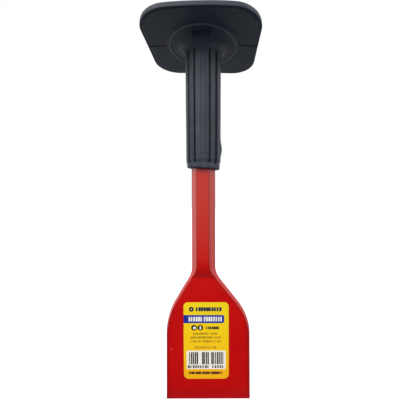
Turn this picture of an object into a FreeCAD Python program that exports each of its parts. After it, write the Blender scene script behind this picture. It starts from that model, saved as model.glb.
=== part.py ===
import FreeCAD, Part
import math
import os

# Brick bolster chisel. The frame's origin is the middle of the cutting edge, +Z runs up the bar to the
# struck end, X runs across the blade, and -Y points out of the labelled front. Millimetres and degrees.
#
# The forging starts as hexagonal bar. Its lower end is hammered out into a broad blade that tapers to a
# straight cutting edge. A soft moulded sleeve is forced over the top of the bar. It carries finger flutes,
# and spreads into a rounded square plate that keeps the hammer off the hand. A paper label is stuck on
# the front of the blade.

Vector = FreeCAD.Vector

# Forging: overall sizes
overall_length = 260.0
blade_width = 57.15
bar_across_flats = 14.3

# Forging: the fan of the blade, seen from the front
neck_height = 86.4  # where the slanting shoulders would meet the sides of the bar
shoulder_angle = 35.0  # mean slant of the two shoulders, from the axis of the bar
blade_offset = 2.9  # the blade's middle, to the right of the bar's axis
shoulder_radius = 40.0
neck_radius = 14.0
edge_land = 0.5  # flat worn along the corners at the two sides
blade_side_slope = 2.6  # how far the blade's slanting sides would lean in over the bar's full thickness

# Forging: thickness, seen from the side
cutting_edge_thickness = 0.7
bevel_height = 7.0
bevel_thickness = 3.8
bevel_radius = 40.0
blade_root_thickness = 8.4
ramp_foot_drop = 2.2  # from the neck height down to where the blade's face meets the ramp
ramp_height = 5.6  # from the blade's face out to the flats of the bar
ramp_foot_radius = 2.0
ramp_top_radius = 6.0

# Forging: struck end
head_chamfer_height = 3.2
head_chamfer_inset = 1.9

# Grip: how far down the bar it sits, and its wall over the corners of the bar
head_stand = 18.0  # bar above the underside of the guard plate
sleeve_length = 85.3
sleeve_wall_top = 3.9
sleeve_wall_bottom = 3.35
collar_wall = 2.85
collar_height = 4.2
collar_taper_height = 1.8
collar_end_radius = 0.8
bore_clearance = 0.05

# Grip: flutes, drawn straight out of the front and the back
flute_angles = (-51.0, -25.0, 25.0, 51.0)
flute_width = 1.3
flute_depth = 1.15
flute_end_gap = 1.0  # from the flute's upper end to the foot of the flare
centre_flute_width = 1.6
centre_flute_depth = 0.25

# Guard: plate, round boss and flare under it, low crown on top
guard_width = 75.0
guard_depth = 72.0
guard_corner_radius = 18.5
guard_bow = 2.5  # how far the front and back edges stand out at their middle
guard_bow_radius = 260.0
guard_sag = 1.6  # how far the plate's sides hang below its middle
guard_thickness = 3.2
guard_rim_radius = 1.0
flare_radius = 6.4
boss_land = 4.8
boss_drop = 1.1
boss_edge_radius = 0.9
crown_height = 2.6
crown_wall = 4.6
crown_slope_width = 9.0
crown_edge_radius = 1.0
gate_recess_gap = 1.7  # from the sleeve's side
gate_recess_width = 11.0
gate_recess_length = 7.2
gate_recess_depth = 0.7

# Label
label_width = 30.5
label_thickness = 0.12
label_corner_radius = 3.0
label_foot = 15.0
label_side_gap = 6.1  # across from the label's upper corners to the shoulders, if it were in their middle
label_offset = 1.8  # the label's middle, to the right of the bar's axis
glue_gap = 0.02

# Worked out from the sizes above
shoulder_rise = 1 / math.tan(math.radians(shoulder_angle))
bar_half = bar_across_flats / 2
bar_corner = bar_half / math.cos(math.radians(30))
bar_flat_half = bar_corner / 2
bar_side = bar_corner - edge_land / 2 * math.tan(math.radians(30))
blade_half = blade_width / 2
shoulder_height = neck_height - (blade_half - bar_side) * shoulder_rise
ramp_foot = neck_height - ramp_foot_drop
ramp_top = ramp_foot + ramp_height
face_slope = (blade_root_thickness - bevel_thickness) / 2 / (ramp_foot - bevel_height)
guard_underside = overall_length - head_stand
guard_top = guard_underside + guard_thickness
sleeve_bottom = guard_underside - sleeve_length
sleeve_radius_top = bar_corner + sleeve_wall_top
sleeve_radius_bottom = bar_corner + sleeve_wall_bottom
boss_face = guard_underside - boss_drop
flare_foot = boss_face - flare_radius
boss_radius = sleeve_radius_top + flare_radius + boss_land


def in_front_plane(y):
    """Places a flat (x, z) point at depth y."""
    return lambda x, z: Vector(x, y, z)


def in_side_plane(x):
    """Places a flat (y, z) point at width x."""
    return lambda y, z: Vector(x, y, z)


def in_level_plane(z):
    """Places a flat (x, y) point at height z."""
    return lambda x, y: Vector(x, y, z)


def rounded_wire(corners, place):
    """A closed wire through corners (a, b, radius), with a tangent arc at each corner that has a radius."""
    count = len(corners)
    stops = []
    for i, (a, b, radius) in enumerate(corners):
        here = Vector(a, b, 0)
        if not radius:
            stops.append([here])
            continue
        before = (Vector(*corners[i - 1][:2], 0) - here).normalize()
        after = (Vector(*corners[(i + 1) % count][:2], 0) - here).normalize()
        half_turn = before.getAngle(after) / 2
        reach = radius / math.tan(half_turn)
        towards = (before + after).normalize()
        middle = here + towards * (radius / math.sin(half_turn) - radius)
        stops.append([here + before * reach, middle, here + after * reach])
    edges = []
    for i, stop in enumerate(stops):
        onward = stops[(i + 1) % count][0]
        placed = [place(point.x, point.y) for point in stop]
        if len(stop) == 3:
            edges.append(Part.Arc(*placed).toShape())
        if stop[-1].distanceToPoint(onward) > 1e-6:
            edges.append(Part.LineSegment(placed[-1], place(onward.x, onward.y)).toShape())
    return Part.Wire(edges)


def mirrored_corners(half):
    """The corners of the right half, from the bottom up, and then the left half down again."""
    return half + [(-a, b, radius) for a, b, radius in reversed(half)]


def fan_outline(blade_side, bar_side, shoulder, y):
    """The forging seen from the front: straight blade sides, slanting shoulders and the bar."""
    neck = shoulder + (blade_side - bar_side) * shoulder_rise
    right = blade_offset + blade_side
    left = blade_offset - blade_side
    corners = [
        (right, 0, 0),
        (right, shoulder, shoulder_radius),
        (bar_side, neck, neck_radius),
        (bar_side, overall_length, 0),
        (-bar_side, overall_length, 0),
        (-bar_side, neck, neck_radius),
        (left, shoulder, shoulder_radius),
        (left, 0, 0),
    ]
    return rounded_wire(corners, in_front_plane(y))


def hexagonal_blank():
    """The fan with the sloping sides of hexagonal bar all the way round it, at the bar's full thickness."""
    corner_drop = blade_side_slope * math.tan(math.radians(shoulder_angle / 2))
    face = (blade_half - blade_side_slope, bar_flat_half, shoulder_height - corner_drop)
    middle = (blade_half, bar_side, shoulder_height)
    land = edge_land / 2
    outlines = [
        fan_outline(*face, -bar_half),
        fan_outline(*middle, -land),
        fan_outline(*middle, land),
        fan_outline(*face, bar_half),
    ]
    return Part.makeLoft(outlines, True, True)


def thickness_wedge():
    """The forging seen from the side, wide enough to trim the whole blank to its thickness."""
    half = [
        (cutting_edge_thickness / 2, 0, 0),
        (bevel_thickness / 2, bevel_height, bevel_radius),
        (blade_root_thickness / 2, ramp_foot, ramp_foot_radius),
        (bar_half, ramp_top, ramp_top_radius),
        (bar_half, overall_length, 0),
    ]
    outline = rounded_wire(mirrored_corners(half), in_side_plane(-blade_width))
    return Part.Face(outline).extrude(Vector(2 * blade_width, 0, 0))


def struck_end_envelope():
    """A turned shape as wide as the blade, with a cone at its top that chamfers the struck end."""
    top_radius = bar_corner - head_chamfer_inset
    half = [
        (blade_width, 0),
        (blade_width, overall_length - 2 * head_chamfer_height),
        (top_radius + 2 * head_chamfer_inset, overall_length - 2 * head_chamfer_height),
        (top_radius, overall_length),
        (0, overall_length),
        (0, 0),
        (blade_width, 0),
    ]
    face = Part.Face(Part.makePolygon([Vector(r, 0, z) for r, z in half]))
    return face.revolve(Vector(0, 0, 0), Vector(0, 0, 1), 360)


def forged_chisel():
    """The steel forging: the blank trimmed to its thickness and to its chamfered head."""
    trimmed = hexagonal_blank().common(thickness_wedge()).common(struck_end_envelope())
    return trimmed.removeSplitter()


def sleeve_and_boss():
    """Collar, tapering sleeve, flare, round boss and crown, turned about the bar's axis as one solid."""
    collar = bar_corner + collar_wall
    collar_top = sleeve_bottom + collar_height
    crown = bar_corner + crown_wall
    crown_top = guard_top + crown_height
    profile = [
        (0, sleeve_bottom, 0),
        (collar, sleeve_bottom, collar_end_radius),
        (collar, collar_top, 0),
        (sleeve_radius_bottom, collar_top + collar_taper_height, 0),
        (sleeve_radius_top, flare_foot, 0),
        (sleeve_radius_top, boss_face, flare_radius),
        (boss_radius, boss_face, boss_edge_radius),
        (boss_radius, guard_top - guard_thickness / 2, 0),
        (crown + crown_slope_width, guard_top, 0),
        (crown, crown_top, crown_edge_radius),
        (0, crown_top, 0),
    ]
    face = Part.Face(rounded_wire(profile, in_front_plane(0)))
    return face.revolve(Vector(0, 0, 0), Vector(0, 0, 1), 360)


def guard_arch():
    """A very wide tube across the bar, with a wall as thick as the plate, that gives the plate its arch."""
    radius = (guard_width / 2) ** 2 / (2 * guard_sag) + guard_sag / 2
    centre = Vector(0, -guard_depth, guard_underside - radius)
    along = Vector(0, 1, 0)
    outside = Part.makeCylinder(radius + guard_thickness, 2 * guard_depth, centre, along)
    inside = Part.makeCylinder(radius, 2 * guard_depth, centre, along)
    return outside.cut(inside)


def guard_plate():
    """The arched, rounded square plate, bowed in front and behind, with its upper rim rounded over."""
    side = guard_width / 2
    bow_lean = math.atan2(guard_bow, side)
    apex = guard_depth / 2 + guard_bow_radius * (1 / math.cos(bow_lean) - 1)
    shoulder = apex - guard_bow
    half = [
        (0, -apex, guard_bow_radius),
        (side, -shoulder, guard_corner_radius),
        (side, shoulder, guard_corner_radius),
        (0, apex, guard_bow_radius),
    ]
    corners = half + [(-side, shoulder, guard_corner_radius), (-side, -shoulder, guard_corner_radius)]
    below = guard_underside - 2 * guard_sag
    outline = rounded_wire(corners, in_level_plane(below))
    plate = Part.Face(outline).extrude(Vector(0, 0, guard_top - below)).common(guard_arch())
    top = max(plate.Faces, key=lambda face: face.CenterOfMass.z)
    return plate.makeFillet(guard_rim_radius, top.Edges)


def flute_cutter(angle, width, depth, side):
    """A straight slot with round ends along the sleeve, cut in from the front (-1) or the back (+1)."""
    around = math.radians(angle)
    middle = sleeve_radius_bottom * math.sin(around)
    floor = side * (sleeve_radius_bottom * math.cos(around) - depth)
    foot = sleeve_bottom + collar_height
    top = flare_foot - flute_end_gap
    half = width / 2
    corners = [
        (middle - half, foot, half),
        (middle + half, foot, half),
        (middle + half, top, half),
        (middle - half, top, half),
    ]
    slot = Part.Face(rounded_wire(corners, in_front_plane(floor)))
    return slot.extrude(Vector(0, side * sleeve_radius_top, 0))


def bar_bore():
    """The hexagonal hole that the sleeve stretches over the bar, through the whole grip."""
    corner = bar_corner + bore_clearance / math.cos(math.radians(30))
    below = sleeve_bottom - 1
    turns = [math.radians(60 * i) for i in range(7)]
    points = [Vector(corner * math.cos(turn), corner * math.sin(turn), below) for turn in turns]
    return Part.Face(Part.makePolygon(points)).extrude(Vector(0, 0, overall_length))


def gate_recess():
    """The shallow rectangle that the mould's gate leaves in the boss, in front of the sleeve."""
    far_edge = sleeve_radius_top + gate_recess_gap + gate_recess_length
    corner = Vector(-gate_recess_width / 2, -far_edge, flare_foot)
    height = flare_radius + gate_recess_depth
    return Part.makeBox(gate_recess_width, gate_recess_length, height, corner)


def hand_guard_grip():
    """The soft moulding: sleeve, boss and guard plate as one piece, with its bore, flutes and gate recess."""
    cutters = [bar_bore(), gate_recess()]
    for side in (-1, 1):
        for angle in flute_angles:
            cutters.append(flute_cutter(angle, flute_width, flute_depth, side))
        cutters.append(flute_cutter(0, centre_flute_width, centre_flute_depth, side))
    return sleeve_and_boss().fuse(guard_plate()).cut(cutters)


def blade_label():
    """The label, laid on the sloping front of the blade between the bevel and the shoulders."""
    half_width = label_width / 2
    top = neck_height - (half_width + label_side_gap - bar_side) * shoulder_rise
    half = [
        (half_width, 0, label_corner_radius),
        (half_width, top - label_foot, label_corner_radius),
    ]
    outline = rounded_wire(mirrored_corners(half), in_front_plane(0))
    label = Part.Face(outline).extrude(Vector(0, -label_thickness, 0))
    label.rotate(Vector(0, 0, 0), Vector(1, 0, 0), math.degrees(math.atan(face_slope)))
    face = bevel_thickness / 2 + (label_foot - bevel_height) * face_slope
    label.translate(Vector(label_offset, -face - glue_gap, label_foot))
    return label


def save(node, shape):
    """Writes one piece as the node's STEP file."""
    shape.exportStep(f"parts/{node}.step")
    print(node, "valid", shape.isValid(), "solids", len(shape.Solids), "volume", round(shape.Volume, 1))


os.makedirs("parts", exist_ok=True)
save("forged_chisel", forged_chisel())
save("hand_guard_grip", hand_guard_grip())
save("blade_label", blade_label())
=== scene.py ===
import bisect
import math

import bmesh
import bpy
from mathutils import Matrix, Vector, noise


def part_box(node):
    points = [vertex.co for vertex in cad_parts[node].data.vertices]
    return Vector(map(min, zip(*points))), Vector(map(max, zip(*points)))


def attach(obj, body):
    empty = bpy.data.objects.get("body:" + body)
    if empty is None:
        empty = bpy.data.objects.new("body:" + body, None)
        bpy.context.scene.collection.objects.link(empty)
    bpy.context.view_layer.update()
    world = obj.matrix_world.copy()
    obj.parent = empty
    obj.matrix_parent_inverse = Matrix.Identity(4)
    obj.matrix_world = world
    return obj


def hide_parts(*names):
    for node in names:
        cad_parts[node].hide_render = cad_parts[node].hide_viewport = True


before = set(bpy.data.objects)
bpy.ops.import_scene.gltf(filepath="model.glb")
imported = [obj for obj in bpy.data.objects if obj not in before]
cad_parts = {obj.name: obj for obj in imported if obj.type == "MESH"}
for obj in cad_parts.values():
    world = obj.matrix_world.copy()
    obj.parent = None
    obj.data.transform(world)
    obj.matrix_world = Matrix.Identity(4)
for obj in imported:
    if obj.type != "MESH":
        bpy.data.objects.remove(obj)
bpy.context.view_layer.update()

# ---------------------------------------------------------------------------------------------------
# The camera stands close in front of the labelled side, level with the middle of the bar, so the guard
# is seen from below and the blade from above. It stands a little to the right of the tool.
# ---------------------------------------------------------------------------------------------------

MM = 0.001

camera_lens = bpy.data.cameras.new("camera")
camera_lens.sensor_width = 36.0
camera_lens.lens = 22.34
camera_lens.clip_start = 0.01
camera = bpy.data.objects.new("camera", camera_lens)
camera.location = (11.0 * MM, -170.6 * MM, 136.2 * MM)
camera_lens.shift_x = -0.0488
camera.rotation_euler = (math.radians(90), math.radians(0.15), 0)
bpy.context.scene.collection.objects.link(camera)
bpy.context.scene.camera = camera
bpy.context.scene.view_settings.view_transform = "Standard"

# ---------------------------------------------------------------------------------------------------
# The stage is a plain white table that runs back into a white room. The room is darker low down in
# front, as a studio is on the side that the camera stands on, and darker towards the floor at the right.
# ---------------------------------------------------------------------------------------------------


def add_node(tree, kind, inputs=None, **settings):
    """Adds a shader node, sets it up, and fills its sockets with plain values or with other sockets."""
    made = tree.nodes.new("ShaderNode" + kind)
    for name, value in settings.items():
        setattr(made, name, value)
    for socket, value in (inputs or {}).items():
        if isinstance(value, bpy.types.NodeSocket):
            tree.links.new(value, made.inputs[socket])
        else:
            made.inputs[socket].default_value = value
    return made


def maths(tree, operation, *values):
    """A Math node on plain numbers or sockets."""
    return add_node(tree, "Math", dict(enumerate(values)), operation=operation).outputs[0]


def ramp_between(tree, value, low, high, to_low=0.0, to_high=1.0):
    """A soft step from to_low to to_high as the value goes from low to high."""
    inputs = {"Value": value, "From Min": low, "From Max": high, "To Min": to_low, "To Max": to_high}
    return add_node(tree, "MapRange", inputs, interpolation_type="SMOOTHSTEP").outputs[0]


def blend_colours(tree, mask, under, over):
    """The over colour laid on the under colour where the mask is 1."""
    made = add_node(tree, "Mix", data_type="RGBA")
    for socket, value in ((0, mask), (6, under), (7, over)):
        if isinstance(value, bpy.types.NodeSocket):
            tree.links.new(value, made.inputs[socket])
        else:
            made.inputs[socket].default_value = value
    return made.outputs[2]


room = bpy.data.worlds.new("white_room")
room.use_nodes = True
bpy.context.scene.world = room
tree = room.node_tree
direction = add_node(tree, "SeparateXYZ", {0: add_node(tree, "TexCoord").outputs["Generated"]})
towards_front = ramp_between(tree, direction.outputs["Y"], 0.15, -0.45)
towards_floor = ramp_between(tree, direction.outputs["Z"], 0.08, -0.34)
to_the_right = ramp_between(tree, direction.outputs["X"], -0.40, 0.30, 0.54, 0.76)
under_floor = maths(tree, "MULTIPLY", ramp_between(tree, direction.outputs["Z"], -0.14, -0.48), to_the_right)
in_front = maths(tree, "MULTIPLY", maths(tree, "MULTIPLY", towards_front, towards_floor), 0.97)
darkness = maths(tree, "MAXIMUM", in_front, under_floor)
tree.nodes["Background"].inputs["Strength"].default_value = 1.0
brightness = maths(tree, "SUBTRACT", 1.0, darkness)
cooler = maths(tree, "MULTIPLY_ADD", darkness, -0.975, 1.0)
coolest = maths(tree, "MULTIPLY_ADD", darkness, -0.93, 1.0)
tree.links.new(
    add_node(tree, "CombineColor", {0: brightness, 1: cooler, 2: coolest}).outputs[0],
    tree.nodes["Background"].inputs["Color"],
)

table_mesh = bpy.data.meshes.new("table_top")
TABLE_HALF = 4.0
corners = [(-1, -1), (1, -1), (1, 1), (-1, 1)]
table_mesh.from_pydata([(x * TABLE_HALF, y * TABLE_HALF, 0) for x, y in corners], [], [(0, 1, 2, 3)])
table_top = bpy.data.objects.new("table_top", table_mesh)
bpy.context.scene.collection.objects.link(table_top)
table_top.visible_glossy = False
table_top.visible_diffuse = False
table_white = bpy.data.materials.new("table_white")
table_white.use_nodes = True
shader = table_white.node_tree.nodes["Principled BSDF"]
shader.inputs["Base Color"].default_value = (0.6, 0.6, 0.6, 1)
shader.inputs["Roughness"].default_value = 0.9
shader.inputs["Emission Color"].default_value = (1, 1, 1, 1)
shader.inputs["Emission Strength"].default_value = 0.72
table_mesh.materials.append(table_white)


def soft_light(name, place, aim, size, power):
    """A square soft box that points from its place to its aim."""
    lamp = bpy.data.lights.new(name, "AREA")
    lamp.size = size
    lamp.energy = power
    made = bpy.data.objects.new(name, lamp)
    made.location = place
    made.rotation_euler = (Vector(aim) - Vector(place)).to_track_quat("-Z", "Y").to_euler()
    bpy.context.scene.collection.objects.link(made)


middle_of_bar = (0, 0, 0.12)
soft_light("light_upper_left", (-0.55, -0.75, 0.75), middle_of_bar, 0.6, 8.0)
soft_light("light_upper_right", (0.75, -0.45, 0.55), middle_of_bar, 0.5, 2.4)

# ---------------------------------------------------------------------------------------------------
# The forging: hexagonal steel bar, hammered out at its lower end into a broad blade, ground to an edge,
# chamfered at the struck end, and then dipped in red enamel all over. The enamel rounds every corner.
# ---------------------------------------------------------------------------------------------------

forging_low, forging_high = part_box("forged_chisel")
chisel_length = forging_high.z
blade_half = (forging_high.x - forging_low.x) / 2
blade_offset = (forging_high.x + forging_low.x) / 2
bar_half = forging_high.y
bar_side = 8.11 * MM
bar_face_half = 4.128 * MM
blade_side_lean = 2.6 * MM
blade_face_half = blade_half - blade_side_lean
shoulder_angle = math.radians(35)
shoulder_height = 57.22 * MM
shoulder_radius = 40.0 * MM
neck_radius = 14.0 * MM
corner_land = 0.25 * MM
head_chamfer_height = 3.2 * MM
head_chamfer_inset = 1.9 * MM

edge_half = 0.35 * MM
bevel_height = 7.0 * MM
bevel_half = 1.9 * MM
ramp_foot = 84.2 * MM
ramp_foot_half = 4.2 * MM
ramp_height = 5.6 * MM

# Where half the forging's thickness changes its slope: height, slope from there up, softness of the change
THICKNESS_KINKS = (
    (0.0, (bevel_half - edge_half) / bevel_height, 0.0),
    (bevel_height, (ramp_foot_half - bevel_half) / (ramp_foot - bevel_height), 4.0 * MM),
    (ramp_foot, (bar_half - ramp_foot_half) / ramp_height, 0.5 * MM),
    (ramp_foot + ramp_height, 0.0, 5.0 * MM),
)


def soft_step(value, low, high):
    """0 below low, 1 above high, and a smooth step between."""
    t = min(1.0, max(0.0, (value - low) / (high - low)))
    return t * t * (3 - 2 * t)


def gentle_kink(z, at, reach):
    """How far z is past a change of slope, eased in over a reach on each side of it."""
    past = z - at
    if past <= -reach:
        return 0.0
    if past >= reach or reach == 0:
        return max(past, 0.0)
    return (past + reach) ** 2 / (4 * reach)


def half_thickness(z):
    """Half the thickness of the forging at a height: edge, bevel, blade, ramp and bar."""
    total = edge_half
    slope_before = 0.0
    for at, slope, reach in THICKNESS_KINKS:
        total += (slope - slope_before) * gentle_kink(z, at, reach)
        slope_before = slope
    return min(total, bar_half)


def fan_half_width(z, blade_side, bar_edge, shoulder):
    """Half the forging's width at a height: blade side, round shoulder, slant, hollow neck and bar."""
    slant = math.tan(shoulder_angle)
    shoulder_reach = shoulder_radius * math.tan(shoulder_angle / 2)
    neck = shoulder + (blade_side - bar_edge) / slant
    neck_reach = neck_radius * math.tan(shoulder_angle / 2)
    if z < shoulder - shoulder_reach:
        return blade_side
    if z < shoulder + shoulder_reach * math.cos(shoulder_angle):
        rise = z - (shoulder - shoulder_reach)
        return blade_side - shoulder_radius + math.sqrt(shoulder_radius**2 - rise**2)
    if z < neck - neck_reach * math.cos(shoulder_angle):
        return blade_side - (z - shoulder) * slant
    if z < neck + neck_reach:
        drop = neck + neck_reach - z
        return bar_edge + neck_radius - math.sqrt(neck_radius**2 - drop**2)
    return bar_edge


def sideways(z):
    """How far the section's middle is to the right of the bar: the blade was drawn out off centre."""
    neck = shoulder_height + (blade_half - bar_side) / math.tan(shoulder_angle)
    low, high = shoulder_height - 6 * MM, neck + 2 * MM
    ease = 4 * MM
    begun = gentle_kink(z, low + ease, 2 * ease)
    ended = gentle_kink(z, high - ease, 2 * ease)
    return blade_offset * (1 - (begun - ended) / (high - low - 2 * ease))


def forging_corners(z):
    """The eight corners of the forging's section, from the right, turning through the back to the left."""
    drop = (blade_half - blade_face_half) * math.tan(shoulder_angle / 2)
    at_land = fan_half_width(z, blade_half, bar_side, shoulder_height)
    at_full = fan_half_width(z, blade_face_half, bar_face_half, shoulder_height - drop)
    thick = half_thickness(z)
    land = min(corner_land, 0.45 * thick)
    share = (thick - land) / (bar_half - land)
    at_face = at_land + (at_full - at_land) * share
    quarter = [Vector((at_land, land)), Vector((at_face, thick))]
    back = quarter + [Vector((-p.x, p.y)) for p in reversed(quarter)]
    return back + [Vector((p.x, -p.y)) for p in reversed(back)]


SIDE_CUTS = {0: 4, 1: 26, 2: 4, 3: 1, 4: 4, 5: 26, 6: 4, 7: 1}
CORNER_STEPS = 5
PAINT_ROUNDING = 0.55 * MM


def forging_ring(z):
    """The section's points with each corner rounded over, and how near each point is to a corner."""
    corners = forging_corners(z)
    count = len(corners)
    points = []
    nearness = []
    for i, here in enumerate(corners):
        before = corners[i - 1]
        after = corners[(i + 1) % count]
        cut_before = min(PAINT_ROUNDING, 0.4 * (here - before).length)
        cut_after = min(PAINT_ROUNDING, 0.4 * (after - here).length)
        start = here + (before - here).normalized() * cut_before
        end = here + (after - here).normalized() * cut_after
        for step in range(CORNER_STEPS):
            t = step / (CORNER_STEPS - 1)
            points.append(start * (1 - t) ** 2 + here * 2 * t * (1 - t) + end * t * t)
            nearness.append(1.0)
        stop = after + (here - after).normalized() * cut_after
        for step in range(1, SIDE_CUTS[i]):
            t = step / SIDE_CUTS[i]
            points.append(end.lerp(stop, t))
            nearness.append(0.0)
    return points, nearness


def spaced(start, end, step):
    """Evenly spaced heights from start up to, but without, end."""
    count = max(1, round((end - start) / step))
    return [start + (end - start) * i / count for i in range(count)]


head_foot = chisel_length - 6 * MM
forging_heights = (
    spaced(0, 2 * MM, 0.4 * MM)
    + spaced(2 * MM, 82 * MM, 1.0 * MM)
    + spaced(82 * MM, 92 * MM, 0.3 * MM)
    + spaced(92 * MM, head_foot, 2.0 * MM)
    + spaced(head_foot, chisel_length, 0.3 * MM)
    + [chisel_length]
)


def struck_end_radius(z):
    """The radius of the turned chamfer at the struck end, rounded where it meets the top."""
    below = chisel_length - z
    top_radius = bar_side - head_chamfer_inset
    cone = top_radius + head_chamfer_inset * below / head_chamfer_height
    softening = 0.35 * MM * max(0.0, 1 - below / (0.9 * MM)) ** 2
    return cone - softening


def hammered(point, reach):
    """A slow inward waviness, as a hammered and dipped surface has."""
    broad = noise.noise(point * 70) + 1
    narrow = noise.noise(point * 230 + Vector((7, 1, 4))) + 1
    return reach * (0.75 * broad + 0.25 * narrow) / 2


def new_piece(name, points, faces, marks, mark_name):
    """A smooth shaded mesh object with one named value per point."""
    mesh = bpy.data.meshes.new(name)
    mesh.from_pydata(points, [], faces)
    mesh.update()
    layer = mesh.attributes.new(mark_name, "FLOAT", "POINT")
    layer.data.foreach_set("value", marks)
    edit = bmesh.new()
    edit.from_mesh(mesh)
    bmesh.ops.recalc_face_normals(edit, faces=edit.faces)
    edit.to_mesh(mesh)
    edit.free()
    for face in mesh.polygons:
        face.use_smooth = True
    made = bpy.data.objects.new(name, mesh)
    bpy.context.scene.collection.objects.link(made)
    return made


HAMMER_REACH = 0.12 * MM
points = []
marks = []
for z in forging_heights:
    outline, nearness = forging_ring(z)
    limit = struck_end_radius(z)
    for (x, y), near in zip(outline, nearness):
        reach = math.hypot(x, y)
        near_head = z > head_foot and reach > limit
        if near_head:
            x, y = x * limit / reach, y * limit / reach
        ease = min(1.0, half_thickness(z) / (3 * MM)) * (0.4 if near_head else 1.0)
        sink = hammered(Vector((x, y, z)), HAMMER_REACH * ease)
        if abs(y) > corner_land:
            y -= math.copysign(sink, y)
        else:
            x -= math.copysign(sink, x)
        points.append((x + sideways(z), y, z))
        marks.append(near)
ring_size = len(outline)
faces = []
for level in range(len(forging_heights) - 1):
    for i in range(ring_size):
        onward = (i + 1) % ring_size
        a = level * ring_size
        b = a + ring_size
        faces.append((a + i, a + onward, b + onward, b + i))

# The cutting edge is closed across its thickness, from each point of the back to its twin in front.
for i in range(ring_size // 2 - 1):
    faces.append((i, i + 1, ring_size - 2 - i, ring_size - 1 - i))

# The struck face is flat, and closes in rings towards its middle.
top = (len(forging_heights) - 1) * ring_size
HEAD_RINGS = 6
for step in range(1, HEAD_RINGS):
    share = 1 - step / HEAD_RINGS
    for i in range(ring_size):
        x, y, z = points[top + i]
        points.append((x * share, y * share, z))
        marks.append(0.0)
    a = top if step == 1 else len(points) - 2 * ring_size
    b = len(points) - ring_size
    faces += [(a + i, a + (i + 1) % ring_size, b + (i + 1) % ring_size, b + i) for i in range(ring_size)]
points.append((0, 0, chisel_length))
marks.append(0.0)
last = len(points) - 1
faces += [(last - ring_size + i, last - ring_size + (i + 1) % ring_size, last) for i in range(ring_size)]

chisel = new_piece("painted_chisel", points, faces, marks, "corner")
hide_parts("forged_chisel")
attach(chisel, "root")

# The enamel: a deep red gloss, slightly uneven from dipping, with orange peel, fine scale lines under it
# where the hot blade was rolled out, a few specks of dust, and small chips along the corners.


def new_group(name, inputs, outputs):
    """An empty shader node group with named number inputs (name: default) and number outputs."""
    group = bpy.data.node_groups.new(name, "ShaderNodeTree")
    for label, default in inputs.items():
        kind = "NodeSocketVector" if default is None else "NodeSocketFloat"
        socket = group.interface.new_socket(label, in_out="INPUT", socket_type=kind)
        if default is not None:
            socket.default_value = default
    for label in outputs:
        group.interface.new_socket(label, in_out="OUTPUT", socket_type="NodeSocketFloat")
    start = group.nodes.new("NodeGroupInput")
    end = group.nodes.new("NodeGroupOutput")
    return group, start.outputs, end.inputs


def place_group(tree, group, inputs):
    """Puts a node group into a material and fills its inputs."""
    made = add_node(tree, "Group", node_tree=group)
    for socket, value in inputs.items():
        if isinstance(value, bpy.types.NodeSocket):
            tree.links.new(value, made.inputs[socket])
        else:
            made.inputs[socket].default_value = value
    return made.outputs


def noise_value(tree, position, scale, detail=2.0, roughness=0.5):
    """A soft noise between 0 and 1 over the surface."""
    inputs = {"Vector": position, "Scale": scale, "Detail": detail, "Roughness": roughness}
    return add_node(tree, "TexNoise", inputs).outputs[0]


def make_specks_group():
    """Small separate spots, of uneven size, scattered over a surface."""
    group, given, result = new_group("specks", {"Position": None, "Spacing": 300.0, "Share": 0.1}, ["Mask"])
    cells = add_node(group, "TexVoronoi", {"Vector": given["Position"], "Scale": given["Spacing"]})
    picked = add_node(group, "SeparateColor", {0: cells.outputs["Color"]}).outputs[0]
    kept = maths(group, "LESS_THAN", picked, given["Share"])
    size = maths(group, "MULTIPLY_ADD", picked, 0.6, 0.10)
    inside = maths(group, "SUBTRACT", size, cells.outputs["Distance"])
    group.links.new(maths(group, "MULTIPLY", kept, ramp_between(group, inside, 0.0, 0.06)), result["Mask"])
    return group


MM_PER_METRE = 1000


def make_stroke_group():
    """A short straight scratch or smear on an upright face, at a place given in millimetres."""
    inputs = {"Position": None, "Across": 0.0, "Up": 0.0, "Lean": 0.2, "Length": 1.0, "Width": 0.2}
    group, given, result = new_group("stroke", inputs, ["Mask"])
    place = add_node(group, "SeparateXYZ", {0: given["Position"]}).outputs
    across = maths(group, "SUBTRACT", maths(group, "MULTIPLY", place["X"], MM_PER_METRE), given["Across"])
    up = maths(group, "SUBTRACT", maths(group, "MULTIPLY", place["Z"], MM_PER_METRE), given["Up"])
    lean = given["Lean"]
    along = maths(group, "MULTIPLY_ADD", across, lean, up)
    aside = maths(group, "SUBTRACT", across, maths(group, "MULTIPLY", up, lean))
    long_part = maths(group, "DIVIDE", maths(group, "ABSOLUTE", along), given["Length"])
    wide_part = maths(group, "DIVIDE", maths(group, "ABSOLUTE", aside), given["Width"])
    reach = maths(group, "ADD", maths(group, "POWER", long_part, 2), maths(group, "POWER", wide_part, 2))
    on_front = maths(group, "LESS_THAN", place["Y"], 0)
    spot = ramp_between(group, reach, 1.0, 0.3)
    group.links.new(maths(group, "MULTIPLY", spot, on_front), result["Mask"])
    return group


specks = make_specks_group()
stroke = make_stroke_group()


def new_material(name):
    """A node material, with its tree, its main shader and the surface position in metres."""
    made = bpy.data.materials.new(name)
    made.use_nodes = True
    tree = made.node_tree
    position = add_node(tree, "TexCoord").outputs["Object"]
    return made, tree, tree.nodes["Principled BSDF"], position


def stretched(tree, position, x, y, z):
    """The surface position scaled along each axis, so that a pattern runs finer or coarser that way."""
    return add_node(tree, "Mapping", {"Vector": position, "Scale": (x, y, z)}).outputs[0]


def add_bump(tree, height, strength, distance, under=None):
    """A bump from a height, laid over another bump's normal if there is one."""
    inputs = {"Height": height, "Strength": strength, "Distance": distance}
    if under is not None:
        inputs["Normal"] = under
    return add_node(tree, "Bump", inputs).outputs[0]


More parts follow.
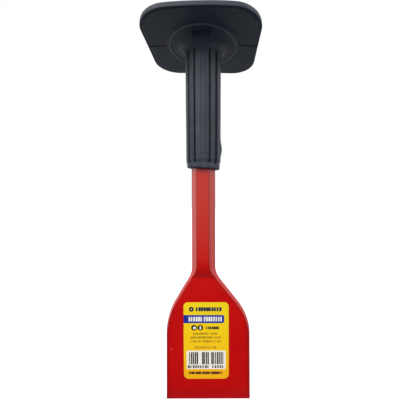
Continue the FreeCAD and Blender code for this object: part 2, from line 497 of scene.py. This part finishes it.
def make_red_enamel():
    made, tree, shader, position = new_material("red_enamel")
    corner = add_node(tree, "Attribute", attribute_name="corner").outputs["Fac"]
    broad = noise_value(tree, position, 45)
    uneven = ramp_between(tree, broad, 0.3, 0.7)
    red = blend_colours(tree, uneven, (0.48, 0.0014, 0.0002, 1), (0.52, 0.0026, 0.0003, 1))
    up = add_node(tree, "SeparateXYZ", {0: position}).outputs["Z"]
    # Painted reflection: from the middle of the bar upwards the red is made lighter and more orange, standing
    # in for the bright room above showing in the gloss.
    painted_upper_reflection = maths(tree, "MULTIPLY", ramp_between(tree, up, 75 * MM, 135 * MM), 0.8)
    red = blend_colours(tree, painted_upper_reflection, red, (0.46, 0.014, 0.003, 1))
    dust = place_group(tree, specks, {"Position": position, "Spacing": 420, "Share": 0.035})["Mask"]
    red = blend_colours(tree, maths(tree, "MULTIPLY", dust, 0.25), red, (0.60, 0.12, 0.10, 1))
    red = blend_colours(tree, maths(tree, "MULTIPLY", corner, 0.40), red, (0.17, 0.003, 0.001, 1))
    nick = {"Position": position, "Across": -22.0, "Up": 35.3, "Lean": -0.35, "Length": 1.2, "Width": 0.45}
    nick_mask = place_group(tree, stroke, nick)["Mask"]
    broken = ramp_between(tree, noise_value(tree, position, 1500, 3), 0.42, 0.56)
    nick_mask = maths(tree, "MULTIPLY", nick_mask, broken)
    red = blend_colours(tree, maths(tree, "MULTIPLY", nick_mask, 0.6), red, (0.72, 0.20, 0.17, 1))
    chip_noise = noise_value(tree, position, 520, 4, 0.65)
    chips = maths(tree, "MULTIPLY", corner, ramp_between(tree, chip_noise, 0.70, 0.74))
    colour = blend_colours(tree, chips, red, (0.10, 0.03, 0.025, 1))
    tree.links.new(colour, shader.inputs["Base Color"])
    smear = noise_value(tree, stretched(tree, position, 60, 60, 25), 1, 4)
    roughness = maths(tree, "MULTIPLY_ADD", smear, 0.16, 0.15)
    tree.links.new(maths(tree, "MULTIPLY_ADD", dust, 0.2, roughness), shader.inputs["Roughness"])
    peel = noise_value(tree, position, 900, 1)
    rolled = noise_value(tree, stretched(tree, position, 35, 35, 420), 1, 3, 0.6)
    normal = add_bump(tree, rolled, 0.22, 0.00016)
    normal = add_bump(tree, peel, 0.30, 0.00006, normal)
    lifted = maths(tree, "SUBTRACT", dust, maths(tree, "MULTIPLY", chips, 2))
    tree.links.new(add_bump(tree, lifted, 0.5, 0.00008, normal), shader.inputs["Normal"])
    return made


chisel.data.materials.append(make_red_enamel())

# ---------------------------------------------------------------------------------------------------
# The grip: one soft PVC moulding, forced over the bar. Sleeve, boss and guard plate are one piece. It is
# moulded in two halves, so a fine ridge runs down both sides and a fine groove crosses the underside of
# the plate.
# ---------------------------------------------------------------------------------------------------

grip_low, grip_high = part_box("hand_guard_grip")
sleeve_foot = grip_low.z
crown_top = grip_high.z
plate_face = crown_top - 5.8 * MM
plate_top = crown_top - 2.6 * MM
boss_face = plate_face - 1.1 * MM
flare_radius = 6.4 * MM
flare_foot = boss_face - flare_radius
collar_top = sleeve_foot + 4.2 * MM
collar_radius = 11.1 * MM
sleeve_radius_low = 11.6 * MM
sleeve_radius_high = 12.15 * MM
boss_radius = 23.35 * MM
crown_radius = 12.85 * MM
crown_foot_radius = 21.8 * MM
guard_half_width = 37.48 * MM
guard_half_depth = 35.98 * MM
guard_corner = 18.5 * MM
guard_bow = 2.5 * MM
guard_bow_radius = 260 * MM
guard_arch_radius = 440 * MM
bore_half = bar_half + 0.02 * MM
FRONT = math.radians(270)
flute_turns = [math.radians(turn) for turn in (-51, -25, 25, 51)]
flute_half_width = 0.62 * MM
flute_depth = 1.45 * MM
flute_foot = sleeve_foot + 4.6 * MM
flute_head = flare_foot - 0.6 * MM


def rounded_corner(before, here, after, radius, steps):
    """Points on an arc of a radius that rounds the corner at here, between its two neighbours."""
    to_before = (before - here).normalized()
    to_after = (after - here).normalized()
    half_turn = to_before.angle(to_after) / 2
    centre = here + (to_before + to_after).normalized() * (radius / math.sin(half_turn))
    start = here + to_before * (radius / math.tan(half_turn)) - centre
    end = here + to_after * (radius / math.tan(half_turn)) - centre
    return [centre + start.lerp(end, i / (steps - 1)).normalized() * radius for i in range(steps)]


def guard_outline():
    """The guard plate's edge, as a dense loop of points: a rounded square, bowed in front and behind."""
    lean = math.atan2(guard_bow, guard_half_width)
    apex = guard_half_depth + guard_bow_radius * (1 / math.cos(lean) - 1)
    shoulder = apex - guard_bow
    quarter = [(0, -apex, guard_bow_radius), (guard_half_width, -shoulder, guard_corner)]
    half = quarter + [(guard_half_width, shoulder, guard_corner), (0, apex, guard_bow_radius)]
    loop = half + [(-guard_half_width, shoulder, guard_corner), (-guard_half_width, -shoulder, guard_corner)]
    places = [Vector((x, y)) for x, y, _ in loop]
    made = []
    for i, (_, _, radius) in enumerate(loop):
        made += rounded_corner(places[i - 1], places[i], places[(i + 1) % len(loop)], radius, 90)
    return sorted((math.atan2(p.y, p.x) % (2 * math.pi), p.length) for p in made)


guard_edge = guard_outline()
guard_edge_turns = [turn for turn, _ in guard_edge]


def guard_reach(angle):
    """How far the guard plate's edge is from the axis, in a direction: where a ray meets the loop."""
    turn = angle % (2 * math.pi)
    after = bisect.bisect_left(guard_edge_turns, turn) % len(guard_edge)
    low_turn, low_reach = guard_edge[after - 1]
    high_turn, high_reach = guard_edge[after]
    past_low = (turn - low_turn) % (2 * math.pi)
    to_high = (high_turn - turn) % (2 * math.pi)
    crossed = low_reach * math.sin(past_low) + high_reach * math.sin(to_high)
    return low_reach * high_reach * math.sin(past_low + to_high) / crossed if crossed else low_reach


def bore_reach(angle):
    """How far the hexagonal bar's flats are from the axis, in a direction, with the corners eased."""
    sector = math.radians(60)
    from_flat = (angle - math.radians(90)) % sector
    from_flat = min(from_flat, sector - from_flat)
    return min(bore_half / math.cos(from_flat), bar_side + 0.04 * MM)


def turn_between(angle, other):
    """The signed turn from one direction to another, within half a turn either way."""
    return (angle - other + math.pi) % (2 * math.pi) - math.pi


def flute_sink(angle, z, radius):
    """How deep the surface sinks into the finger flutes, which have upright walls and round ends."""
    sink = 0.0
    beyond = max(flute_foot - z, z - flute_head, 0.0)
    for side in (FRONT, FRONT + math.pi):
        for turn in flute_turns:
            aside = turn_between(angle, side + turn) * radius
            reach = math.hypot(aside, beyond)
            outer = abs(turn) > math.radians(40)
            depth = flute_depth * (1.15 if outer else 0.85)
            half = flute_half_width * (1.4 if outer else 1.0)
            sink = max(sink, depth * soft_step(reach, half + 0.22 * MM, half - 0.22 * MM))
        aside = abs(turn_between(angle, side)) * radius
        dip = 0.16 * MM * soft_step(math.hypot(aside, beyond), 1.1 * MM, 0.2 * MM)
        sink = max(sink, dip)
    return sink


def flash_stand(angle, z, radius):
    """How far the flash stands out on the sleeve: a fine line on both sides and one torn ear."""
    stand = 0.0
    for side in (0.0, math.pi):
        aside = abs(turn_between(angle, side)) * radius
        stand += 0.14 * MM * math.exp(-((aside / (0.3 * MM)) ** 2))
    aside = turn_between(angle, 0.0) * radius
    above = z - (sleeve_foot + 14.0 * MM)
    ear_length = 4.2 * MM if above < 0 else 5.2 * MM
    ear = math.exp(-((above / ear_length) ** 2)) * math.exp(-((aside / (1.5 * MM)) ** 2))
    return stand + 0.95 * MM * ear


def sleeve_foot_wave(angle):
    """The lower end isn't cut true: it hangs lowest at the right and in front, and rises to the left."""
    wave = 0.65 - 0.62 * math.cos(angle) + 0.50 * math.sin(angle) + 0.08 * math.sin(5 * angle)
    return (0.03 + max(0.0, wave)) * MM


def round_over(from_r, from_z, corner_r, corner_z, to_r, to_z, steps):
    """Points on a rounded corner, from one point to the other with the corner between."""
    made = []
    for step in range(steps):
        t = step / (steps - 1)
        a, b, c = (1 - t) ** 2, 2 * t * (1 - t), t * t
        made.append((a * from_r + b * corner_r + c * to_r, a * from_z + b * corner_z + c * to_z))
    return made


PARTING_Y = -1.4 * MM
parting_depth = 0.30 * MM
parting_reach = 0.45 * MM
plate_crown = 0.5 * MM
plate_warp = 0.026
bead_inset = 0.75 * MM
bead_half_width = 1.15 * MM


def grip_profile(angle):
    """The grip's outline in one direction: up the outside from the bore's foot, and over the top."""
    bore = bore_reach(angle)
    edge = guard_reach(angle)
    foot = sleeve_foot + sleeve_foot_wave(angle)
    line = round_over(bore, foot + 2.0 * MM, bore, foot + 0.25 * MM, bore + 0.9 * MM, foot + 0.12 * MM, 5)
    soft = 1.1 * MM
    line += round_over(collar_radius - soft, foot, collar_radius, foot, collar_radius, foot + soft, 6)
    middle_of_collar = (foot + soft + collar_top) / 2
    line.append((collar_radius + 0.06 * MM, middle_of_collar))
    line += round_over(
        collar_radius, collar_top - 0.3 * MM,
        collar_radius + 0.05 * MM, collar_top + 0.3 * MM,
        sleeve_radius_low, collar_top + 1.6 * MM, 6,
    )
    start = collar_top + 1.6 * MM
    for z in spaced(start, flare_foot, 1.0 * MM)[1:]:
        share = (z - start) / (flare_foot - start)
        line.append((sleeve_radius_low + (sleeve_radius_high - sleeve_radius_low) * share, z))
    for step in range(23):
        turn = math.radians(90) * step / 22
        line.append((
            sleeve_radius_high + flare_radius * (1 - math.cos(turn)),
            flare_foot + flare_radius * math.sin(turn),
        ))
    land_start = sleeve_radius_high + flare_radius
    land_end = boss_radius - 2.2 * MM
    land_top = boss_face + 0.30 * MM
    for step in range(1, 8):
        along = land_start + (land_end - land_start) * step / 7
        line.append((along, boss_face + (land_top - boss_face) * soft_step(step, 0, 7)))
    bead_middle = boss_radius - bead_inset
    for step in range(1, 12):
        turn = math.radians(180) * step / 12
        line.append((
            bead_middle - bead_half_width * math.cos(turn),
            land_top - 0.42 * MM * math.sin(turn) + 0.30 * MM * step / 12,
        ))
    line += round_over(
        boss_radius + 0.5 * MM, land_top + 0.35 * MM,
        boss_radius + 0.6 * MM, plate_face,
        boss_radius + 1.4 * MM, plate_face, 4,
    )
    lip = edge - 1.5 * MM
    start = boss_radius + 1.4 * MM
    line += [(start + (lip - start) * i / 14, plate_face) for i in range(1, 15)]
    line += [
        (edge - 1.25 * MM, plate_face + 0.45 * MM),
        (edge - 1.0 * MM, plate_face + 0.50 * MM),
        (edge - 0.72 * MM, plate_face + 0.05 * MM),
    ]
    line += round_over(
        edge - 0.5 * MM, plate_face - 0.05 * MM, edge, plate_face - 0.05 * MM, edge, plate_face + 0.5 * MM, 5
    )
    line.append((edge - 0.06 * MM, (plate_face + plate_top) / 2))
    line += round_over(
        edge - 0.12 * MM, plate_top - 1.0 * MM, edge - 0.15 * MM, plate_top, edge - 1.2 * MM, plate_top, 7
    )
    start = edge - 1.2 * MM
    crown_start = crown_foot_radius + 1.5 * MM
    line += [(start + (crown_start - start) * i / 9, plate_top) for i in range(1, 9)]
    line += round_over(
        crown_start, plate_top,
        crown_foot_radius, plate_top,
        crown_foot_radius - 2.0 * MM, plate_top + 0.6 * MM, 5,
    )
    line += round_over(
        crown_radius + 1.5 * MM, crown_top - 0.45 * MM,
        crown_radius, crown_top,
        crown_radius - 1.5 * MM, crown_top, 6,
    )
    line += round_over(
        bore + 0.7 * MM, crown_top - 0.02 * MM,
        bore, crown_top - 0.05 * MM,
        bore, crown_top - 0.8 * MM, 5,
    )
    line.append((bore, (crown_top + foot) / 2))
    return line


gate_half_width = 5.5 * MM
gate_near = sleeve_radius_high + 1.7 * MM
gate_far = gate_near + 7.2 * MM
gate_floor = boss_face + 0.7 * MM


def shaped_point(angle, r, z):
    """A point of the grip's outline with its flutes, flash, gate recess and slight moulding waviness."""
    grain = Vector((math.cos(angle), math.sin(angle), z * 40))
    on_sleeve = soft_step(r, 16 * MM, 13.5 * MM) * soft_step(z, sleeve_foot + 2.5 * MM, sleeve_foot + 4 * MM)
    outside = r > bore_half * 1.25 and z < plate_face
    if outside and on_sleeve > 0:
        r -= flute_sink(angle, z, r) * on_sleeve
        r += flash_stand(angle, z, r) * soft_step(r, 16 * MM, 13.5 * MM)
        r -= 0.10 * MM * (noise.noise(grain * 1.7) + 1) / 2
    x, y = r * math.cos(angle), r * math.sin(angle)
    under_plate = r > sleeve_radius_high + 0.3 * MM and z < plate_face + 0.55 * MM
    if under_plate:
        in_gate = (
            soft_step(abs(x), gate_half_width + 0.2 * MM, gate_half_width - 0.2 * MM)
            * soft_step(-y, gate_near - 0.15 * MM, gate_near + 0.15 * MM)
            * soft_step(-y, gate_far + 0.25 * MM, gate_far - 0.25 * MM)
        )
        if z < gate_floor:
            z += (gate_floor - z) * in_gate
        parting = parting_depth * math.exp(-(((y - PARTING_Y) / parting_reach) ** 2))
        z += parting * (1.0 if r > boss_radius else 0.4)
    if r > boss_radius - 1.6 * MM and z > boss_face - 1 * MM:
        past_boss = soft_step(r, boss_radius - 1.5 * MM, boss_radius + 3 * MM)
        wave = 0.20 * MM * noise.noise(Vector((x * 28, y * 28, 3.1)))
        crowned = plate_crown * max(0.0, 1 - (y / guard_half_depth) ** 2)
        warped = -plate_warp * max(0.0, x) * y / guard_half_depth
        z += (wave + crowned + warped - x * x / (2 * guard_arch_radius)) * past_boss
    return x, y, min(z, crown_top)


TURN_STEP = 0.75
across_seam = [1.5 + 0.25 * i for i in range(16)]
fine_turns = [180 + turn for turn in across_seam] + [360 - turn for turn in across_seam]
turns = sorted({i * TURN_STEP for i in range(480)} | set(fine_turns))
points = []
marks = []
for turn in turns:
    angle = math.radians(turn)
    line = grip_profile(angle)
    made = [shaped_point(angle, r, z) for r, z in line]
    points += made
    for i, (r, z) in enumerate(line):
        on_rim = soft_step(r, guard_reach(angle) - 0.7 * MM, guard_reach(angle) - 0.4 * MM)
        bead_painted_highlight = soft_step(abs(r - boss_radius + bead_inset), 1.0 * MM, 0.4 * MM) * (z < plate_face)
        painted_flute_shade = 0.0
        if sleeve_foot + 3 * MM < z < flare_foot and r > bore_half * 1.25:
            painted_flute_shade = soft_step(flute_sink(angle, z, r), 0.25 * MM, 0.9 * MM)
        # Each point's mark: the plate's outer rim a little lighter where rubbed, a painted highlight along
        # the bead round the boss, and, below zero, painted shade down in the finger flutes.
        marks.append(max(0.22 * on_rim, bead_painted_highlight) - painted_flute_shade)
line_size = len(line)
faces = []
for column in range(len(turns)):
    a = column * line_size
    b = (column + 1) % len(turns) * line_size
    for i in range(line_size):
        onward = (i + 1) % line_size
        faces.append((a + i, b + i, b + onward, a + onward))

grip = new_piece("moulded_grip", points, faces, marks, "rubbed_and_painted_light")
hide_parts("hand_guard_grip")
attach(grip, "root")


def make_soft_pvc():
    made, tree, shader, position = new_material("soft_pvc")
    mark = add_node(tree, "Attribute", attribute_name="rubbed_and_painted_light").outputs["Fac"]
    # Lighter where the rim is rubbed, and a painted highlight along the bead round the boss.
    rubbed_and_painted_light = ramp_between(tree, mark, 0.0, 1.0)
    painted_shade_in_flutes = ramp_between(tree, mark, 0.0, -1.0)
    broad = noise_value(tree, position, 60, 3)
    colour = blend_colours(
        tree, ramp_between(tree, broad, 0.3, 0.7), (0.023, 0.029, 0.040, 1), (0.034, 0.041, 0.055, 1)
    )
    haze = noise_value(tree, stretched(tree, position, 160, 160, 45), 1, 5, 0.7)
    haze = ramp_between(tree, haze, 0.48, 0.80)
    colour = blend_colours(tree, maths(tree, "MULTIPLY", haze, 0.40), colour, (0.085, 0.094, 0.106, 1))
    colour = blend_colours(tree, maths(tree, "MULTIPLY", rubbed_and_painted_light, 0.75), colour, (0.088, 0.098, 0.115, 1))
    place = add_node(tree, "SeparateXYZ", {0: position}).outputs
    level = stretched(tree, position, 1, 1, 0)
    from_axis = add_node(tree, "VectorMath", {0: level}, operation="LENGTH").outputs["Value"]
    # Painted shade: the finger flutes are coloured near black, deepest where they sink furthest.
    colour = blend_colours(tree, maths(tree, "MULTIPLY", painted_shade_in_flutes, 0.85), colour, (0.004, 0.005, 0.007, 1))
    # Painted shade: the parting groove across the underside of the plate is coloured near black, and so is a
    # line in the gate recess.
    from_seam = maths(tree, "ABSOLUTE", maths(tree, "SUBTRACT", place["Y"], PARTING_Y))
    painted_groove_and_gate_shade = ramp_between(tree, from_seam, 0.85 * MM, 0.45 * MM)
    on_plate = ramp_between(tree, from_axis, 24 * MM, 25 * MM)
    facing = add_node(tree, "NewGeometry").outputs["Normal"]
    facing_up = add_node(tree, "SeparateXYZ", {0: facing}).outputs["Z"]
    on_plate = maths(tree, "MULTIPLY", on_plate, ramp_between(tree, facing_up, 0.55, 0.25))
    painted_groove_and_gate_shade = maths(tree, "MULTIPLY", painted_groove_and_gate_shade, on_plate)
    # Painted shadow: a dark line across the gate recess, standing in for the shadow of its wall.
    from_gate_edge = maths(tree, "ABSOLUTE", maths(tree, "ADD", place["Y"], gate_near + 1.9 * MM))
    painted_gate_shadow = ramp_between(tree, from_gate_edge, 0.60 * MM, 0.25 * MM)
    from_middle = maths(tree, "ABSOLUTE", place["X"])
    in_gate_width = ramp_between(tree, from_middle, gate_half_width + 0.3 * MM, gate_half_width - 0.1 * MM)
    below_plate = ramp_between(tree, place["Z"], plate_face + 0.5 * MM, plate_face)
    painted_gate_shadow = maths(tree, "MULTIPLY", painted_gate_shadow, maths(tree, "MULTIPLY", in_gate_width, below_plate))
    painted_groove_and_gate_shade = maths(tree, "MAXIMUM", painted_groove_and_gate_shade, maths(tree, "MULTIPLY", painted_gate_shadow, 0.8))
    colour = blend_colours(tree, maths(tree, "MULTIPLY", painted_groove_and_gate_shade, 0.95), colour, (0.003, 0.004, 0.006, 1))
    pit = {"Position": position, "Across": -6.8, "Up": 166.4, "Lean": 0.0, "Length": 0.55, "Width": 0.45}
    ridge = {"Position": position, "Across": 1.0, "Up": 166.6, "Lean": 0.0, "Length": 0.35, "Width": 9.0}
    pit_mask = place_group(tree, stroke, pit)["Mask"]
    ridge_mask = place_group(tree, stroke, ridge)["Mask"]
    colour = blend_colours(tree, maths(tree, "MULTIPLY", pit_mask, 0.8), colour, (0.004, 0.005, 0.007, 1))
    colour = blend_colours(tree, maths(tree, "MULTIPLY", ridge_mask, 0.45), colour, (0.010, 0.012, 0.016, 1))
    dust = place_group(tree, specks, {"Position": position, "Spacing": 650, "Share": 0.03})["Mask"]
    colour = blend_colours(tree, maths(tree, "MULTIPLY", dust, 0.3), colour, (0.20, 0.21, 0.22, 1))
    tree.links.new(colour, shader.inputs["Base Color"])
    mottle = noise_value(tree, position, 240, 4)
    tree.links.new(maths(tree, "MULTIPLY_ADD", mottle, 0.22, 0.42), shader.inputs["Roughness"])
    shader.inputs["Specular IOR Level"].default_value = 0.25
    grain = noise_value(tree, position, 2600, 2)
    drag = noise_value(tree, stretched(tree, position, 700, 700, 60), 1, 3)
    normal = add_bump(tree, drag, 0.25, 0.00008)
    tree.links.new(add_bump(tree, grain, 0.35, 0.00005, normal), shader.inputs["Normal"])
    return made


grip.data.materials.append(make_soft_pvc())

# ---------------------------------------------------------------------------------------------------
# The label: a rounded sheet of semi-gloss paper, printed yellow shading to gold, stuck on the front of
# the blade a little to one side. Its print is plain bars and dashes that stand in for lettering.
# ---------------------------------------------------------------------------------------------------

label_low, label_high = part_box("blade_label")
label_middle = (label_low.x + label_high.x) / 2
label_half = (label_high.x - label_low.x) / 2
label_foot = label_low.z
label_height = label_high.z - label_low.z
label_corner = 3.0 * MM
paper_thickness = 0.11 * MM
paper_stand = 0.13 * MM  # the printed face, out from the blade: the paper's thickness lies behind it
LABEL_COLUMNS = 30
LABEL_ROWS = 40
CORNER_ROWS = 8


def label_row_heights():
    """Heights up the label from its foot, closest together round the corners."""
    turn = [math.radians(90) * i / CORNER_ROWS for i in range(CORNER_ROWS)]
    low = [label_corner * (1 - math.cos(a)) for a in turn]
    straight = label_height - 2 * label_corner
    middle = [label_corner + straight * i / LABEL_ROWS for i in range(LABEL_ROWS)]
    high = [label_height - rise for rise in reversed(low)]
    return low + middle + [label_height - label_corner] + high


def label_row_half(height):
    """Half the label's width at a height above its foot."""
    into_corner = label_corner - min(height, label_height - height)
    if into_corner <= 0:
        return label_half
    return label_half - label_corner + math.sqrt(max(0.0, label_corner**2 - into_corner**2))


def label_lift(x, z):
    """The paper lies flat on the enamel, with faint bubbles and its upper right corner just lifting."""
    bubble = max(0.0, noise.noise(Vector((x * 90, 0, z * 90)))) * 0.05 * MM
    from_corner = math.hypot(x - label_high.x, z - label_high.z)
    return bubble + 0.22 * MM * soft_step(from_corner, 5 * MM, 1 * MM)


points = []
for height in label_row_heights():
    z = label_foot + height
    half = label_row_half(height)
    for column in range(LABEL_COLUMNS + 1):
        x = label_middle + half * (2 * column / LABEL_COLUMNS - 1)
        points.append((x, -half_thickness(z) - paper_stand - label_lift(x, z), z))
row_size = LABEL_COLUMNS + 1
row_count = len(points) // row_size
faces = []
for row in range(row_count - 1):
    for column in range(LABEL_COLUMNS):
        a = row * row_size + column
        faces.append((a, a + 1, a + 1 + row_size, a + row_size))
label = new_piece("printed_label", points, faces, [0.0] * len(points), "cut_edge")
paper = label.modifiers.new("paper", "SOLIDIFY")
paper.thickness = paper_thickness
paper.offset = 1.0
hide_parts("blade_label")
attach(label, "root")

# Places on the label are in millimetres: across from its left edge, and up from its foot.


def make_box_group():
    """A filled box with round corners, from left to right and from foot to top."""
    inputs = {"Across": 0.0, "Up": 0.0, "Left": 0.0, "Right": 1.0, "Foot": 0.0, "Top": 1.0, "Round": 0.2}
    group, given, result = new_group("printed_box", inputs, ["Mask"])
    outside = []
    for value, low, high in (("Across", "Left", "Right"), ("Up", "Foot", "Top")):
        middle = maths(group, "MULTIPLY", maths(group, "ADD", given[low], given[high]), 0.5)
        half = maths(group, "MULTIPLY", maths(group, "SUBTRACT", given[high], given[low]), 0.5)
        away = maths(group, "ABSOLUTE", maths(group, "SUBTRACT", given[value], middle))
        outside.append(maths(group, "SUBTRACT", away, maths(group, "SUBTRACT", half, given["Round"])))
    beyond = [maths(group, "POWER", maths(group, "MAXIMUM", value, 0.0), 2.0) for value in outside]
    corner = maths(group, "SQRT", maths(group, "ADD", *beyond))
    inside = maths(group, "MINIMUM", maths(group, "MAXIMUM", *outside), 0.0)
    distance = maths(group, "SUBTRACT", maths(group, "ADD", corner, inside), given["Round"])
    group.links.new(ramp_between(group, distance, 0.06, -0.06), result["Mask"])
    return group


def make_dashes_group():
    """A row of dashes of uneven width inside a box, with gaps between them as between words."""
    inputs = {"Across": 0.0, "Up": 0.0, "Left": 0.0, "Right": 1.0, "Foot": 0.0, "Top": 1.0}
    inputs |= {"Pitch": 1.0, "Fill": 0.7, "Gaps": 0.2, "Row": 0.0}
    group, given, result = new_group("printed_dashes", inputs, ["Mask"])
    box_inputs = {key: given[key] for key in ("Across", "Up", "Left", "Right", "Foot", "Top")}
    box = place_group(group, printed_box, box_inputs | {"Round": 0.05})["Mask"]
    steps = maths(group, "DIVIDE", maths(group, "SUBTRACT", given["Across"], given["Left"]), given["Pitch"])
    step = maths(group, "FLOOR", steps)
    draw = maths(group, "MULTIPLY_ADD", given["Row"], 17.3, step)
    picked = add_node(group, "TexWhiteNoise", {"W": draw}, noise_dimensions="1D")
    draws = add_node(group, "SeparateColor", {0: picked.outputs["Color"]}).outputs
    present = maths(group, "GREATER_THAN", draws[0], given["Gaps"])
    width = maths(group, "MULTIPLY", given["Fill"], maths(group, "MULTIPLY_ADD", draws[1], 0.5, 0.6))
    filled = maths(group, "SUBTRACT", width, maths(group, "SUBTRACT", steps, step))
    dash = maths(group, "MULTIPLY", ramp_between(group, filled, -0.05, 0.05), present)
    group.links.new(maths(group, "MULTIPLY", dash, box), result["Mask"])
    return group


printed_box = make_box_group()
printed_dashes = make_dashes_group()

# The plain shapes, from the paper up: left, right, foot, top, corner rounding, colour
NAVY = (0.006, 0.015, 0.055, 1)
BLUE = (0.004, 0.024, 0.30, 1)
INK = (0.022, 0.016, 0.012, 1)
WHITE = (0.84, 0.80, 0.70, 1)
BROWN = (0.36, 0.20, 0.012, 1)
PRINTED_BOXES = (
    (3.6, 6.9, 46.1, 49.4, 1.65, NAVY),
    (4.8, 5.7, 47.3, 48.2, 0.44, (0.93, 0.72, 0.03, 1)),
    (-4.0, 27.4, 38.3, 43.8, 1.5, BLUE),
    (5.1, 9.0, 33.2, 37.1, 1.94, INK),
    (6.4, 8.2, 34.1, 35.9, 0.6, WHITE),
    (9.3, 13.2, 33.2, 37.1, 1.94, INK),
    (10.8, 11.8, 33.9, 36.3, 0.4, WHITE),
    (1.9, 28.4, 6.7, 19.5, 0.9, WHITE),
)
# The dashed rows: left, right, foot, top, pitch, fill, gaps, colour, strength
PRINTED_ROWS = (
    (8.3, 25.6, 46.4, 49.1, 1.75, 1.0, 0.0, NAVY, 1.0),
    (9.5, 24.5, 45.0, 45.5, 0.8, 0.8, 0.1, BROWN, 0.45),
    (3.4, 12.4, 39.5, 42.6, 1.6, 0.92, 0.0, WHITE, 1.0),
    (13.6, 26.0, 39.5, 42.6, 1.6, 0.92, 0.0, WHITE, 1.0),
    (15.1, 24.2, 34.1, 35.9, 1.3, 0.95, 0.0, INK, 0.95),
    (6.2, 23.4, 30.3, 31.8, 1.0, 0.9, 0.14, BROWN, 0.85),
    (4.6, 25.1, 27.7, 29.2, 1.0, 0.9, 0.14, BROWN, 0.85),
    (4.6, 25.1, 25.1, 26.6, 1.0, 0.9, 0.14, BROWN, 0.85),
    (7.3, 22.0, 20.8, 22.4, 1.1, 0.85, 0.14, BROWN, 0.85),
    (3.6, 27.2, 10.0, 18.4, 1.25, 0.80, 0.16, INK, 1.0),
    (2.7, 27.5, 7.4, 9.3, 1.65, 0.75, 0.06, INK, 0.95),
    (3.4, 26.2, 3.2, 5.0, 1.5, 1.05, 0.07, (0.10, 0.03, 0.010, 1), 1.0),
)


def make_printed_paper():
    made, tree, shader, position = new_material("printed_paper")
    place = add_node(tree, "SeparateXYZ", {0: position}).outputs
    across = maths(tree, "MULTIPLY", maths(tree, "SUBTRACT", place["X"], label_low.x), MM_PER_METRE)
    up = maths(tree, "MULTIPLY", maths(tree, "SUBTRACT", place["Z"], label_foot), MM_PER_METRE)
    here = {"Across": across, "Up": up}
    lower = blend_colours(tree, ramp_between(tree, up, 0, 22), (0.88, 0.43, 0.004, 1), (0.89, 0.54, 0.004, 1))
    colour = blend_colours(tree, ramp_between(tree, up, 20, 50), lower, (0.83, 0.61, 0.004, 1))
    for left, right, foot, top, rounding, ink in PRINTED_BOXES:
        box = here | {"Left": left, "Right": right, "Foot": foot, "Top": top, "Round": rounding}
        mask = place_group(tree, printed_box, box)["Mask"]
        colour = blend_colours(tree, mask, colour, ink)
    for row, (left, right, foot, top, pitch, fill, gaps, ink, strength) in enumerate(PRINTED_ROWS):
        dashes = here | {"Left": left, "Right": right, "Foot": foot, "Top": top}
        dashes |= {"Pitch": pitch, "Fill": fill, "Gaps": gaps, "Row": row}
        mask = place_group(tree, printed_dashes, dashes)["Mask"]
        colour = blend_colours(tree, maths(tree, "MULTIPLY", mask, strength), colour, ink)
    worn = ramp_between(tree, noise_value(tree, position, 900, 4, 0.7), 0.60, 0.75)
    colour = blend_colours(tree, maths(tree, "MULTIPLY", worn, 0.12), colour, (0.80, 0.72, 0.55, 1))
    tree.links.new(colour, shader.inputs["Base Color"])
    sheen = noise_value(tree, position, 300, 3)
    tree.links.new(maths(tree, "MULTIPLY_ADD", sheen, 0.15, 0.36), shader.inputs["Roughness"])
    shader.inputs["Specular IOR Level"].default_value = 0.35
    fibre = noise_value(tree, stretched(tree, position, 2200, 2200, 900), 1, 3)
    tree.links.new(add_bump(tree, fibre, 0.2, 0.00003), shader.inputs["Normal"])
    return made


label.data.materials.append(make_printed_paper())

# The two boxes, of the frame and of the finished pieces, are both kept.
bpy.context.view_layer.update()
